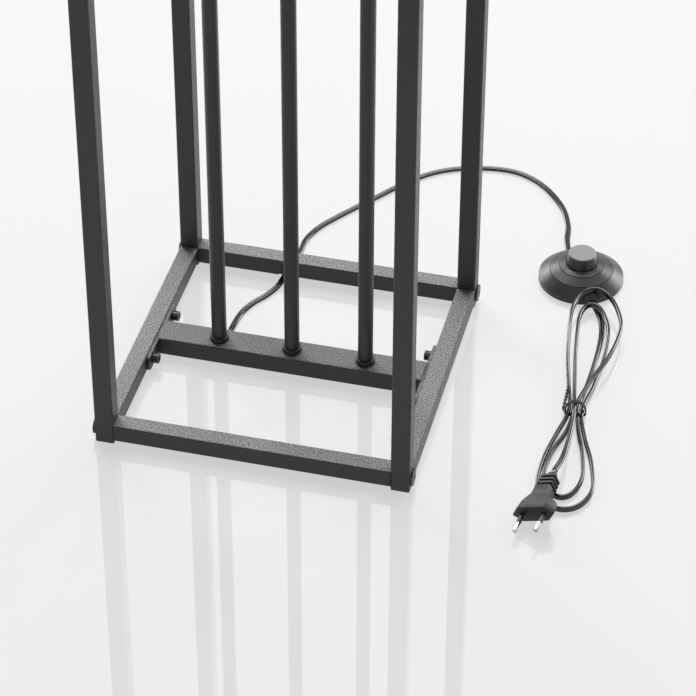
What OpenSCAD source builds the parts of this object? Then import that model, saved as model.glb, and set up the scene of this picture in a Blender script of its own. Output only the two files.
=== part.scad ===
// Lantern floor lamp: an open square-tube frame with three stems on a crossbar, a foot switch on
// the mains cord and the rest of the cord bundled up in front of the plug.
// The origin is the centre of the base on the floor, X to the right, Y to the back.

/* [Frame] */
// Width of the frame across the posts
frame_w = 250; // [230:1:400]
// Depth of the frame across the posts
frame_d = 250; // [230:1:400]
// Height of the frame from the floor to the tops of the post plugs
frame_h = 1150; // [1110:1:1500]
// Side of the square tube
tube_w = 15; // [14.5:0.1:17]
// Wall of the square tube
tube_wall = 1.5; // [1:0.1:1.8]
// Outer corner radius of the square tube
tube_r = 1.4; // [0.8:0.1:2]
// Thickness of the heads of the post plugs
plug_head = 2.5; // [2:0.1:4]
// Length of a post plug's stem inside the tube
plug_stem = 3.5; // [2:0.1:4]

/* [Frame bolts] */
// Shank diameter of the bolts through the posts
bolt_d = 6; // [5:0.1:6.5]
// Head diameter of the bolts
bolt_head_d = 14; // [11:0.5:14]
// Head thickness of the bolts
bolt_head_t = 2; // [1.8:0.1:3]
// Length of the bolts under the head
bolt_l = 28; // [24:0.5:30]
// Length of the threaded inserts in the rail ends
insert_l = 16; // [12:0.5:20]

/* [Crossbar] */
// Width of the crossbar
bar_w = 25; // [24:0.5:30]
// Height of the crossbar
bar_h = 15; // [15:0.5:18]
// Sheet thickness of the crossbar
bar_t = 1.5; // [1:0.1:1.8]
// Radius of the crossbar's long top edges
bar_r = 2; // [1:0.1:3]
// Thickness of the crossbar's bottom cover
cover_t = 1.2; // [0.8:0.1:1.5]
// Length of the crossbar's end plates
plate_l = 76; // [72:1:90]
// Height of the crossbar's end plates
plate_h = 13.5; // [12:0.5:15]
// Thickness of the crossbar's end plates
plate_t = 2.5; // [2:0.1:3]
// Distance from the centre of the crossbar to the screws of an end plate
screw_y = 28; // [24:0.5:30]
// Shank diameter of the crossbar's screws
screw_d = 4; // [3:0.1:4.5]
// Head diameter of the crossbar's screws
screw_head_d = 8; // [6.5:0.1:9]
// Head height of the crossbar's screws
screw_head_h = 5.5; // [3:0.1:6]

/* [Stems] */
// Distance between the stems
stem_pitch = 60; // [52:1:64]
// Outer diameter of a stem
stem_d = 12; // [11.8:0.1:14]
// Wall of a stem
stem_wall = 0.9; // [0.7:0.1:0.9]
// Height of the left stem above the crossbar
stem_left_l = 520; // [300:5:850]
// Height of the middle stem above the crossbar
stem_middle_l = 830; // [300:5:850]
// Height of the right stem above the crossbar
stem_right_l = 675; // [300:5:850]
// Outer diameter of a stem's collar
collar_d = 15.4; // [15:0.1:18]
// Height of a stem's collar
collar_h = 4; // [3:0.1:6]
// Outer diameter of the threaded nipples
nipple_d = 10; // [9:0.1:10]
// Bore of the threaded nipples
nipple_bore = 7; // [6:0.1:7.5]
// Length of a threaded nipple
nipple_l = 24; // [20:0.5:30]

/* [Lampholders and bulbs] */
// Outer diameter of a holder cup
cup_d = 38; // [36:0.5:44]
// Height of a holder cup
cup_h = 58; // [56:0.5:64]
// Wall of a holder cup
cup_wall = 1; // [0.8:0.1:1.5]
// Bore of a holder's insert, over its thread
socket_bore = 27.8; // [27.4:0.1:28.4]
// Depth of the bore of a holder's insert
socket_depth = 33; // [32:0.5:36]
// Outer diameter of a bulb's cap
cap_d = 26.4; // [26:0.1:26.6]
// Height of a bulb's cap
cap_h = 25; // [22:0.5:27]
// Largest diameter of a bulb
bulb_d = 64; // [50:1:80]
// Height of a bulb's glass
glass_h = 115; // [100:1:125]
// Wall of a bulb's glass
glass_t = 0.8; // [0.5:0.1:1.2]

/* [Foot switch] */
// Outer diameter of the foot switch
switch_d = 70; // [66:0.5:80]
// Height of the foot switch's cover
switch_h = 18.4; // [17:0.1:20]
// Wall of the foot switch's cover
switch_wall = 2; // [1.5:0.1:2.2]
// Height of the foot switch's button top
button_z = 28.2; // [26:0.1:32]
// Diameter of the button where it enters the cover
button_d = 25.2; // [22:0.1:26]
// Diameter of the button's top
button_top_d = 22.4; // [18:0.1:24]
// Travel of the button
button_travel = 3; // [2:0.1:3]
// Wire of the return spring
spring_wire = 1.2; // [0.8:0.1:1.4]
// Mean diameter of the return spring
spring_d = 13; // [12:0.5:14]
// Turns of the return spring
spring_turns = 6; // [4:1:7]

/* [Cord] */
// Width of the flat twin cord
cord_w = 5.2; // [5:0.1:5.3]
// Thickness of the flat twin cord
cord_t = 3; // [2.8:0.1:3.1]
// Wire of the twist tie
tie_wire = 1.3; // [1:0.1:1.4]

/* [Plug] */
// Width of the plug's face
plug_w = 35.3; // [34:0.1:37]
// Thickness of the plug's face
plug_t = 13.7; // [13:0.1:14.5]
// Length of the plug from its face to the end of its strain relief
plug_l = 46; // [44:0.5:56]
// Diameter of the pins
pin_d = 4; // [3.8:0.05:4.2]
// Length of the pins beyond the plug's face
pin_l = 19; // [18:0.5:20]
// Distance between the pins at the face
pin_pitch = 18.6; // [17:0.1:19]
// Distance between the tips of the pins
pin_tip_pitch = 17.5; // [17:0.1:19]

/* [Hidden] */
$fn = 48;
cut = 1;              // how far a cutter runs past the face that it opens
play = 0.05;          // radial clearance of a shank or a tube in its hole
slip = 0.1;           // clearance of a piece that slides into a seat by hand

coat = "#38383a";
satin = "#242426";
plastic = "#1c1c1e";
brass = "#b5923f";
zinc = "#a9abad";

// Frame
post_x = (frame_w - tube_w) / 2;
post_y = (frame_d - tube_w) / 2;
tube_bore = tube_w - 2 * tube_wall;
tube_bore_r = 0.5;
rail_x = frame_w / 2 - tube_w;
rail_y = frame_d / 2 - tube_w;
rail_z_low = plug_head + tube_w / 2;
rail_z_high = frame_h - rail_z_low;
socket_flats = 4;
socket_hole = 3;
plug_taper = 0.8;
notch_x = -35.5;
notch_w = 11;

// Crossbar
plate_x = rail_x - plate_t;
bar_z = plug_head;
bar_top = bar_z + bar_h;
plate_r = 5;
crossbar_insert_d = screw_d + 2.4;
crossbar_insert_l = 8;
crossbar_insert_flange = 0.8;
insert_flange_d = crossbar_insert_d + 1.6;
plate_hole_z = rail_z_low;
screw_l = plate_t + tube_wall + 4;
cover_top = bar_z + cover_t;
exit_x = -58;
exit_z = 8;
grommet_d = 10;
grommet_neck = 7.4;
grommet_flange = 1.5;
cord_play = 0.2;
slot_r = 0.8;
block_x = -30;
block_l = 28;
block_w = 15;
block_h = 2 * (exit_z - cover_top);
block_hole = 3.6;
block_pitch = 4.5;
core_r = 1.6;         // radius of the sheathed lead to each stem
core_in = 3;          // how far a lead stands in the terminal block
lead_bend = 3;        // length of a lead's bend under a stem
clamp_x = -50;
clamp_l = 4;
clamp_y = 4.2;
clamp_w = 10;
clamp_h = 7;

// Stems: name, place along the crossbar and length
stem_names = ["left", "middle", "right"];
stem_x = [-stem_pitch, 0, stem_pitch];
stem_l = [stem_left_l, stem_middle_l, stem_right_l];
nipple_in = 18;       // how far a lower nipple stands inside its stem
nut_flats = 14;
nut_h = 3.5;
nipple_up = 8;        // how far an upper nipple stands in its holder cup

// Lampholders and bulbs, measured from the top of a stem
socket_d = cup_d - 2 * cup_wall - 2 * slip;
socket_top = cup_h - 1;
socket_floor = socket_top - socket_depth;
socket_floor_t = 4;
socket_skirt_bore = 30;
contact_t = 0.6;
contact_rise = 2.4;
cap_z = socket_floor + contact_rise + 1.5;
glass_z = cap_z + cap_h - 3;
neck_r = cap_d / 2 - 0.7;
glass_belly = 0.62;   // height of the widest place, as a share of the glass
glass_neck = 0.08;    // height of the straight neck, as a share of the glass
glass_steps = 24;
cup_edge = 1.5;
tongue_l = 12;
tongue_w = 5;
strip_h = 14;
cap_tip_d = 9;
cap_tip_h = 1.4;
cap_cone = 3.5;
cap_thread = 1.6;
cap_pitch = 3.6;
cap_ridges = 5;
cap_bore_h = 3;
mount_foot_r = 8;
mount_foot_h = 2;
mount_r = 2.2;
stick_low = 34;
stick_top = 82;
stick_r = 1;
hub_r = 9;
stick_place = 7;
hub_t = 1.2;

// Foot switch
switch_x = frame_w / 2 + 77.7;
switch_y = 168.5;
switch_turn = 117;    // direction of the side where the lead enters
pad_t = 0.6;
base_t = 2;
base_top = pad_t + base_t;
rim_h = 5.5;
rim_edge = 0.5;
neck_edge = 0.4;
ring_r = 26;
ring_z = 12.2;
step_r = 18.1;
step_z = 16.1;
neck_ring_r = 14.2;
neck_ring_z = 17.6;
groove_d = 0.5;
button_gap = 0.3;
collar_under = switch_h - 3.1;
flange_t = 2;
flange_w = 1.9;
button_wall = 2;
button_top_t = 3;
button_post_r = 4.2;
button_post_bore = 2.6;
button_edge = 0.8;    // height and width of the button's rounded-off edge
base_pin_r = 2.5;
base_pin_top = 11;
bridge_z = 9.5;
bridge_t = 0.8;
bridge_r = (spring_d - spring_wire) / 2 - 0.6;
boss_r = 3;
boss_place = 27;
boss_top = 8.4;
switch_screw_r = 1.2;
switch_screw_head_r = 2.6;
switch_screw_head_h = 1.2;
pad_r = 6;
pad_place = 18;
entry_z = 2.1;        // height of the cord's middle where it enters the switch
entry_stop = 31;      // radius where a cord meets the base's stop
stop_l = 4;
stop_h = 4;
switch_screw_l = 6.5;
screw_slot = [2.8, 0.6, 0.7];
contact_place = 3.1;  // radius where a contact starts
contact_w = 3.6;
contact_gap = 0.2;    // what is left between the bridge and the contacts at full travel
entry_play = 0.3;     // room round a cord where it enters the switch
spring_rings = 12;    // rings of the spring's tube in each turn

// Cord: how far its outline is cut back at its corners, with eight sides and with six
cord_bevel = 0.9;
cord_edge = 1.1;

// The cord's points are written for a frame of this width and depth, and move with its sides
drawn_frame = [250, 250];
beside = (frame_w - drawn_frame.x) / 2;
behind = (frame_d - drawn_frame.y) / 2;

// Lead: points on the cord's middle from the crossbar to the foot switch
switch_at = [switch_x, switch_y, entry_z];
switch_way = [cos(switch_turn), sin(switch_turn), 0];
lead_z = cord_t / 2 + 0.1;
lead_exit = [exit_x, bar_w / 2 + grommet_flange, exit_z];
lead_drawn = [
    [-58.5, 27, 5], [-59, 36, 2.4], [-58.5, 46, lead_z], [-56.5, 58, lead_z],
    [-51, 71, lead_z], [-44, 82, lead_z], [-38, 96, lead_z], [-36, 110, lead_z], [-34, 127, lead_z],
    [-32, 146, lead_z], [-31, 165, lead_z], [-24, 185, lead_z], [-9, 208, lead_z], [9, 233, lead_z],
    [28, 259, lead_z], [49, 282, lead_z], [73, 296, lead_z], [102, 303, lead_z], [126, 301, lead_z],
    [149, 287, lead_z], [169, 262, lead_z], [179, 236, lead_z], [182, 216, lead_z + 0.2]
];
lead_turn = 8;        // the first point behind the back rail
lead_points = [for (i = [0 : len(lead_drawn) - 1]) lead_drawn[i] + lead_shift(i)];
lead_end = switch_at + switch_way * entry_stop;
lead_entry = lead_end + switch_way * cord_w;
tail_points = [
    lead_exit, [exit_x, 11, exit_z], [exit_x, 9, exit_z], [-57, 6.2, exit_z], [-54.6, 4.5, exit_z],
    [-52, clamp_y, exit_z], [-47, clamp_y, exit_z], [block_x - block_l / 2, clamp_y, exit_z]
];

// Hank: u runs across it and v along it, from the middle of its waist
hank_x = frame_w / 2 + 105.5;
hank_y = -4;
hank_turn = 6;
lane_w = cord_t + 0.45;
floor_z = cord_w / 2 + 0.1;
waist_z = cord_w / 2 + tie_wire + 0.4;
top_waist_z = waist_z + cord_w + 0.6;
run_rings = 3;
fold_rings = 6;
// Points from the foot switch to the waist, with the roll of the cord from lying flat
hank_start_drawn = [
    [224.5, 126.5, 2, 0], [229, 117, 1.8, 0], [232, 105, 1.8, 5], [233.6, 92, 2, 25],
    [234.2, 77, 2.5, 55], [234.1, 58, 3, 80], [233.6, 38, 3.6, 90], [232.9, 18, 4.1, 90]
];
// Points from the waist to the plug
hank_end_drawn = [
    [231.6, -20, 9.7, 95], [232.4, -38, 9.9, 105], [232.7, -56, 11, 125], [232.4, -73, 13, 150]
];
hank_start = [for (p = hank_start_drawn) p + [beside, 0, 0, 0]];
hank_end = [for (p = hank_end_drawn) p + [beside, 0, 0, 0]];
gap_steps = 3;        // places on each piece of the hank where its gap to itself is measured
near_steps = 6;       // places along the cord that are too near to be another run

// Twist tie round the waist: two turns, and its ends twisted together on top of a run.
// Its points are across the hank, along it and up, as the hank's are
tie_turns = 2;
tie_rings = 20;
tie_half_w = 1.5 * lane_w + cord_t / 2 + tie_wire / 2 + 0.65;
tie_low = tie_wire / 2 + 0.1;
tie_middle = 5;
tie_high = top_waist_z + cord_w / 2 + tie_wire / 2 + 0.4;
tie_pitch = tie_wire + 0.5;
tie_square = 0.4;     // how square the turns are below the hank, 1 being round
twist_from = [-9.4, 3.6, 6.7];
twist_to = [-7.7, 24.5, 9.3];
twist_r = tie_wire / 2 + 0.35;
twist_turns = 3;
twist_rings = 8;
tie_start = [[-9.9, 1.4, 7.2], [-10, -0.8, 6.2], [-8.9, -2.3, 5.4]];
tie_end = [[-8.1, 2.4, 3.9], [-9.3, 2.9, 3.9]];
tie_tail = [[-8.2, 28.5, 8.5], [-8.9, 33, 8.6], [-10.1, 38.4, 9]];

// Plug: its own Y runs from the face to the cord
plug_at = [frame_w / 2 + 98.4, -140.3, 13];
plug_turn = -8;
plug_tilt = 4;
plug_roll = -22;
plug_flat = 21.6;     // width of the flat upper and lower sides
plug_straight = 9;
shoulder_y = 18;
neck_w = 13.5;
neck_h = 12.2;
neck_y = 28;
shoulder_w = 15;
shoulder_h = 11.6;
relief_core_w = 8.4;
relief_core_h = 6.2;
rib_w = 13;
rib_h = 11.4;
rib_l = 2.4;
rib_pitch = 4.2;
ribs = 3;
plug_edge = 1.2;
pin_seat = 12;        // how far the pins stand inside the body
pin_core_d = 3;
sleeve_l = 10;        // length of the black sleeve beyond the face

/* Helpers */

function ease(f) = (1 - cos(180 * f)) / 2;
function clamp01(f) = min(1, max(0, f));
function mix(a, b, f) = a + (b - a) * f;

// How far a point of the lead moves with the back of the frame, and with the switch beside it
function lead_shift(i) =
    let (
        near_switch = clamp01((i - lead_turn) / (len(lead_drawn) - 1 - lead_turn)),
        near_back = clamp01(2 * lead_drawn[i].y / (drawn_frame.y - tube_w)) * (1 - near_switch)
    )
    [beside * near_switch, behind * near_back, 0];

// A square with round corners, made of straight sides and true arcs
module rounded_square(size, r) {
    square([size.x, size.y - 2 * r], center = true);
    square([size.x - 2 * r, size.y], center = true);
    for (sx = [-1, 1], sy = [-1, 1])
        translate([sx * (size.x / 2 - r), sy * (size.y / 2 - r)])
            circle(r = r);
}

module along_x() rotate([90, 0, 90]) children();
module along_y() rotate([90, 0, 0]) children();

module tube_section() {
    difference() {
        rounded_square([tube_w, tube_w], tube_r);
        rounded_square([tube_bore, tube_bore], tube_bore_r);
    }
}

// A tube with rings of the same size, joined by triangles and closed at both ends
module ring_tube(rings) {
    n = len(rings[0]);
    last = len(rings) - 1;
    polyhedron(
        points = [for (ring = rings) for (p = ring) p],
        faces = concat(
            [for (i = [1 : n - 2]) [0, i, i + 1]],
            [for (k = [0 : last - 1], i = [0 : n - 1], side = [0, 1])
                let (a = k * n + i, b = k * n + (i + 1) % n)
                side == 0 ? [a, a + n, b + n] : [a, b + n, b]],
            [for (i = [1 : n - 2]) [last * n, last * n + i + 1, last * n + i]]
        )
    );
}

// The direction of a path at point i
function path_way(path, i) =
    let (a = path[max(0, i - 1)], b = path[min(len(path) - 1, i + 1)], d = b - a)
    d / norm(d);

// A ring of the flat cord: across is half its width, along the roll angle from lying flat
function cord_ring(centre, way, roll, sides) =
    let (
        side0 = cross(way, [0, 0, 1]),
        side = side0 / norm(side0),
        up = cross(side, way),
        wide = side * cos(roll) + up * sin(roll),
        thin = up * cos(roll) - side * sin(roll)
    )
    [for (k = [0 : sides - 1])
        let (a = 360 * (k + (sides == 8 ? 0.5 : 0)) / sides, s = cord_section(a, sides))
        centre + wide * s.x + thin * s.y];

// A round ring across a way, turned so that no way meets the reference direction
function round_ring(centre, way, r, sides) =
    let (
        side0 = cross(way, [0.1, 0.3, 1] - way * 0.01),
        side = side0 / norm(side0),
        up = cross(side, way)
    )
    [for (k = [0 : sides - 1])
        centre + r * (side * cos(360 * k / sides) + up * sin(360 * k / sides))];

// The flat cord's outline: flat above and below, narrowing at both edges
function cord_section(a, sides) =
    sides == 8
    ? [sign(cos(a)) * (abs(cos(a)) > 0.7 ? cord_w / 2 : cord_w / 2 - cord_bevel),
       sign(sin(a)) * (abs(cos(a)) > 0.7 ? cord_t / 2 - cord_bevel : cord_t / 2)]
    : [abs(sin(a)) < 0.1 ? sign(cos(a)) * cord_w / 2 : sign(cos(a)) * (cord_w / 2 - cord_edge),
       abs(sin(a)) < 0.1 ? 0 : sign(sin(a)) * cord_t / 2];

// A smooth curve through all the points, split in equal steps between them
function curve_point(p, i, f) =
    let (
        p0 = p[max(0, i - 1)], p1 = p[i], p2 = p[i + 1], p3 = p[min(len(p) - 1, i + 2)]
    )
    0.5 * (2 * p1 + (p2 - p0) * f + (2 * p0 - 5 * p1 + 4 * p2 - p3) * f * f
        + (3 * p1 - p0 - 3 * p2 + p3) * f * f * f);
function curve(p, steps) = concat(
    [for (i = [0 : len(p) - 2], k = [0 : steps - 1]) curve_point(p, i, k / steps)],
    [p[len(p) - 1]]
);

/* Frame */

module post(x, y) {
    color(coat)
        difference() {
            translate([x, y, plug_head])
                linear_extrude(frame_h - 2 * plug_head)
                    tube_section();
            for (z = [rail_z_low, rail_z_high])
                translate([x - tube_w / 2 - cut, y, z])
                    rotate([0, 90, 0])
                        cylinder(d = bolt_d + 2 * play, h = tube_w + 2 * cut);
        }
}

module side_rail(x, z) {
    color(coat)
        translate([x, rail_y, z])
            along_y()
                linear_extrude(2 * rail_y)
                    tube_section();
}

module side_rail_bottom(x) {
    inward = -sign(x);
    color(coat)
        difference() {
            side_rail(x, rail_z_low);
            for (y = [-screw_y, screw_y])
                translate([x, y, plate_hole_z])
                    rotate([0, inward * 90, 0])
                        cylinder(d = crossbar_insert_d + 2 * play, h = tube_w);
        }
}

module cross_rail(y, z) {
    color(coat)
        translate([-rail_x, y, z])
            along_x()
                linear_extrude(2 * rail_x)
                    tube_section();
}

// The back rail has a notch under it where the cord passes
module back_rail_bottom() {
    color(coat)
        difference() {
            cross_rail(post_y, rail_z_low);
            translate([notch_x - notch_w / 2, post_y - tube_w, plug_head - cut])
                cube([notch_w, 2 * tube_w, tube_wall + cut]);
        }
}

module at_rail_ends() {
    for (sx = [-1, 1], sy = [-1, 1], z = [rail_z_low, rail_z_high])
        translate([sx * frame_w / 2, sy * post_y, z])
            rotate([0, sx * 90, 0])
                children();
}

module rail_inserts() {
    color(zinc)
        at_rail_ends()
            difference() {
                translate([0, 0, -tube_w - insert_l])
                    linear_extrude(insert_l)
                        rounded_square([tube_bore - slip, tube_bore - slip], tube_bore_r);
                translate([0, 0, -tube_w - insert_l - cut])
                    cylinder(d = bolt_d + 2 * play, h = insert_l + 2 * cut);
            }
}

module rail_bolts() {
    color(satin)
        at_rail_ends()
            difference() {
                union() {
                    cylinder(d = bolt_head_d, h = bolt_head_t);
                    translate([0, 0, -bolt_l])
                        cylinder(d = bolt_d, h = bolt_l + bolt_head_t / 2);
                }
                translate([0, 0, bolt_head_t - socket_hole])
                    cylinder(d = socket_flats / cos(30), h = socket_hole + cut, $fn = 6);
            }
}

module post_plug() {
    linear_extrude(plug_head)
        rounded_square([tube_w, tube_w], tube_r);
    translate([0, 0, plug_head])
        linear_extrude(plug_stem)
            rounded_square([tube_bore - slip, tube_bore - slip], plug_taper);
}

module post_plugs(top) {
    color(plastic)
        for (x = [-post_x, post_x], y = [-post_y, post_y])
            translate([x, y, top ? frame_h : 0])
                mirror([0, 0, top ? 1 : 0])
                    post_plug();
}

/* Crossbar */

module crossbar_section() {
    difference() {
        union() {
            translate([0, (bar_h - bar_r) / 2])
                square([bar_w, bar_h - bar_r], center = true);
            translate([0, bar_h / 2])
                square([bar_w - 2 * bar_r, bar_h], center = true);
            for (s = [-1, 1])
                translate([s * (bar_w / 2 - bar_r), bar_h - bar_r])
                    circle(r = bar_r);
        }
        translate([0, (bar_h - bar_t) / 2 - cut])
            square([bar_w - 2 * bar_t, bar_h - bar_t + 2 * cut], center = true);
    }
}

module crossbar() {
    color(coat)
        difference() {
            translate([-plate_x, 0, bar_z])
                along_x()
                    linear_extrude(2 * plate_x)
                        crossbar_section();
            for (x = stem_x)
                translate([x, 0, bar_top - bar_t - cut])
                    cylinder(d = nipple_d + 2 * play, h = bar_t + 2 * cut);
            translate([exit_x, bar_w / 2 - bar_t - cut, exit_z])
                rotate([-90, 0, 0])
                    cylinder(d = grommet_neck + 2 * play, h = bar_t + 2 * cut);
        }
}

// Closes the crossbar from below, with a recess beside the grommet
module crossbar_cover() {
    color(coat)
        difference() {
            translate([-plate_x + slip, -bar_w / 2 + bar_t + slip, bar_z])
                cube([2 * (plate_x - slip), bar_w - 2 * (bar_t + slip), cover_t]);
            translate([exit_x, bar_w / 2 - bar_t - grommet_flange - slip, bar_z - cut])
                translate([-grommet_d / 2 - slip, 0, 0])
                    cube([grommet_d + 2 * slip, bar_w, cover_t + 2 * cut]);
        }
}

module crossbar_plate(side) {
    color(coat)
        difference() {
            translate([side > 0 ? plate_x : -rail_x, 0, bar_z + plate_h / 2])
                along_x()
                    linear_extrude(plate_t)
                        rounded_square([plate_l, plate_h], plate_r);
            for (y = [-screw_y, screw_y])
                translate([side * (plate_x + plate_t / 2), y, plate_hole_z])
                    rotate([0, 90, 0])
                        cylinder(d = screw_d + 2 * play, h = 2 * plate_t, center = true);
        }
}

module at_plate_screws() {
    for (side = [-1, 1], y = [-screw_y, screw_y])
        translate([side * plate_x, y, plate_hole_z])
            rotate([0, side * 90, 0])
                children();
}

module crossbar_screws() {
    color(satin)
        at_plate_screws()
            difference() {
                union() {
                    translate([0, 0, -screw_head_h])
                        cylinder(d = screw_head_d, h = screw_head_h);
                    translate([0, 0, -screw_head_h / 2])
                        cylinder(d = screw_d, h = screw_l + screw_head_h / 2);
                }
                translate([0, 0, -screw_head_h - cut])
                    cylinder(d = socket_flats / cos(30), h = socket_hole + cut, $fn = 6);
            }
}

module crossbar_inserts() {
    color(zinc)
        at_plate_screws()
            translate([0, 0, plate_t])
                difference() {
                    union() {
                        cylinder(d = crossbar_insert_d, h = crossbar_insert_l);
                        translate([0, 0, tube_wall])
                            cylinder(d = insert_flange_d, h = crossbar_insert_flange);
                    }
                    translate([0, 0, -cut])
                        cylinder(d = screw_d + 2 * play, h = crossbar_insert_l + 2 * cut);
                }
}

/* Stems */

module stem(i) {
    color(satin)
        translate([stem_x[i], 0, bar_top])
            difference() {
                cylinder(d = stem_d, h = stem_l[i]);
                translate([0, 0, -cut])
                    cylinder(d = stem_d - 2 * stem_wall, h = stem_l[i] + 2 * cut);
            }
}

module stem_collars() {
    color(satin)
        for (x = stem_x)
            translate([x, 0, bar_top])
                difference() {
                    cylinder(d = collar_d, h = collar_h);
                    translate([0, 0, -cut])
                        cylinder(d = stem_d + 2 * play, h = collar_h + 2 * cut);
                }
}

module nipple(z, h) {
    translate([0, 0, z])
        difference() {
            cylinder(d = nipple_d, h = h);
            translate([0, 0, -cut])
                cylinder(d = nipple_bore, h = h + 2 * cut);
        }
}

module stem_nipples() {
    color(zinc)
        for (i = [0 : 2])
            translate([stem_x[i], 0, 0]) {
                nipple(bar_top + nipple_in - nipple_l, nipple_l);
                nipple(bar_top + stem_l[i] + nipple_up - nipple_l, nipple_l);
            }
}

module nut() {
    difference() {
        cylinder(d = nut_flats / cos(30), h = nut_h, $fn = 6);
        translate([0, 0, -cut])
            cylinder(d = nipple_d + 2 * play, h = nut_h + 2 * cut);
    }
}

module stem_nuts() {
    color(zinc)
        for (i = [0 : 2])
            translate([stem_x[i], 0, 0]) {
                translate([0, 0, bar_top - bar_t - nut_h]) nut();
                translate([0, 0, bar_top + stem_l[i] + cup_wall]) nut();
            }
}

/* Wiring in the crossbar */

module cord_grommet() {
    color(plastic)
        translate([exit_x, bar_w / 2 - bar_t, exit_z])
            rotate([-90, 0, 0])
                difference() {
                    union() {
                        translate([0, 0, -grommet_flange])
                            cylinder(d = grommet_d, h = grommet_flange);
                        cylinder(d = grommet_neck, h = bar_t);
                        translate([0, 0, bar_t])
                            cylinder(d = grommet_d, h = grommet_flange);
                    }
                    translate([0, 0, -grommet_flange - cut])
                        linear_extrude(bar_t + 2 * grommet_flange + 2 * cut)
                            cord_slot();
                }
}

module cord_slot() {
    rounded_square([cord_w + 2 * cord_play, cord_t + 2 * cord_play], slot_r);
}

module cord_clamp() {
    color(plastic)
        difference() {
            translate([clamp_x - clamp_l / 2, clamp_y - clamp_w / 2, cover_top])
                cube([clamp_l, clamp_w, clamp_h]);
            translate([clamp_x - clamp_l / 2 - cut, clamp_y, exit_z])
                along_x()
                    linear_extrude(clamp_l + 2 * cut)
                        cord_slot();
        }
}

module terminal_block() {
    color(plastic)
        difference() {
            translate([block_x - block_l / 2, -block_w / 2, cover_top])
                cube([block_l, block_w, block_h]);
            for (k = [-1, 0, 1])
                translate([block_x, k * block_pitch, exit_z])
                    rotate([0, 90, 0])
                        cylinder(d = block_hole, h = block_l + 2 * cut, center = true);
        }
}

// The inner end of the cord, and a sheathed lead from the terminal block up each stem
module wiring() {
    top = [for (l = stem_l) bar_top + l + socket_floor - socket_floor_t - slip];
    left = block_x - block_l / 2 + core_in;
    right = block_x + block_l / 2 - core_in;
    turn = [[left, -block_pitch], [right, 0], [right, block_pitch]];
    tail = curve(tail_points, 3);
    color(plastic) {
        for (i = [0 : 2]) {
            x = stem_x[i];
            way = sign(x - turn[i].x);
            path = [
                [turn[i].x, turn[i].y, exit_z], [x - way * lead_bend, turn[i].y, exit_z],
                [x - way, turn[i].y / 2, exit_z + 1], [x, 0, bar_top - lead_bend], [x, 0, top[i]]
            ];
            ring_tube([for (k = [0 : len(path) - 1])
                round_ring(path[k], k == len(path) - 1 ? [0, 0, 1] : path_way(path, k), core_r, 8)]);
        }
        ring_tube([for (i = [0 : len(tail) - 1])
            cord_ring(tail[i], i == 0 ? [0, -1, 0] : path_way(tail, i), 0, 8)]);
    }
}

/* Lampholders */

module holder_cup(i) {
    color(satin)
        translate([stem_x[i], 0, bar_top + stem_l[i]])
            difference() {
                rotate_extrude()
                    polygon([
                        [0, 0], [cup_d / 2 - cup_edge, 0], [cup_d / 2, cup_edge],
                        [cup_d / 2, cup_h], [cup_d / 2 - cup_wall, cup_h],
                        [cup_d / 2 - cup_wall, cup_wall], [0, cup_wall]
                    ]);
                translate([0, 0, -cut])
                    cylinder(d = nipple_d + 2 * play, h = cup_wall + 2 * cut);
            }
}

module holder_socket(i) {
    color(plastic)
        translate([stem_x[i], 0, bar_top + stem_l[i]])
            difference() {
                translate([0, 0, cup_wall])
                    cylinder(d = socket_d, h = socket_top - cup_wall);
                translate([0, 0, cup_wall - cut])
                    cylinder(d = socket_skirt_bore, h = socket_floor - socket_floor_t - cup_wall + cut);
                translate([0, 0, socket_floor])
                    cylinder(d = socket_bore, h = socket_depth + cut);
            }
}

// A bent centre tongue and a side strip in each holder
module holder_contacts() {
    color(brass)
        for (i = [0 : 2])
            translate([stem_x[i], 0, bar_top + stem_l[i] + socket_floor]) {
                translate([-tongue_l / 2, -tongue_w / 2, 0])
                    cube([tongue_l, tongue_w, contact_t]);
                translate([-tongue_l / 2, -tongue_w / 2, 0])
                    cube([contact_t, tongue_w, contact_rise]);
                translate([-tongue_l / 2, -tongue_w / 2, contact_rise - contact_t])
                    cube([tongue_l * 0.8, tongue_w, contact_t]);
                intersection() {
                    difference() {
                        cylinder(r = socket_bore / 2 - slip / 2, h = strip_h);
                        translate([0, 0, -cut])
                            cylinder(r = cap_d / 2 + slip, h = strip_h + 2 * cut);
                    }
                    translate([0, -tongue_w / 2, 0])
                        cube([socket_bore, tongue_w, strip_h]);
                }
            }
}

/* Bulbs */

// Height of the glass above its lower end, and its radius there
function glass_r(f) =
    f < glass_belly
    ? mix(neck_r, bulb_d / 2, ease(clamp01((f - glass_neck) / (glass_belly - glass_neck))))
    : bulb_d / 2 * sqrt(1 - pow((f - glass_belly) / (1 - glass_belly), 2));

function glass_outline(inset) = [
    for (k = [0 : glass_steps])
        let (f = k / glass_steps)
        [max(0, glass_r(f) - inset), f * (glass_h - inset)]
];

module bulb_glass(i) {
    outer = glass_outline(0);
    inner = glass_outline(glass_t);
    color([0.85, 0.75, 0.6, 0.5])
        translate([stem_x[i], 0, bar_top + stem_l[i] + glass_z])
            rotate_extrude()
                polygon(concat(
                    [for (k = [0 : glass_steps]) outer[k]],
                    [for (k = [glass_steps : -1 : 0]) inner[k]]
                ));
}

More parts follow.
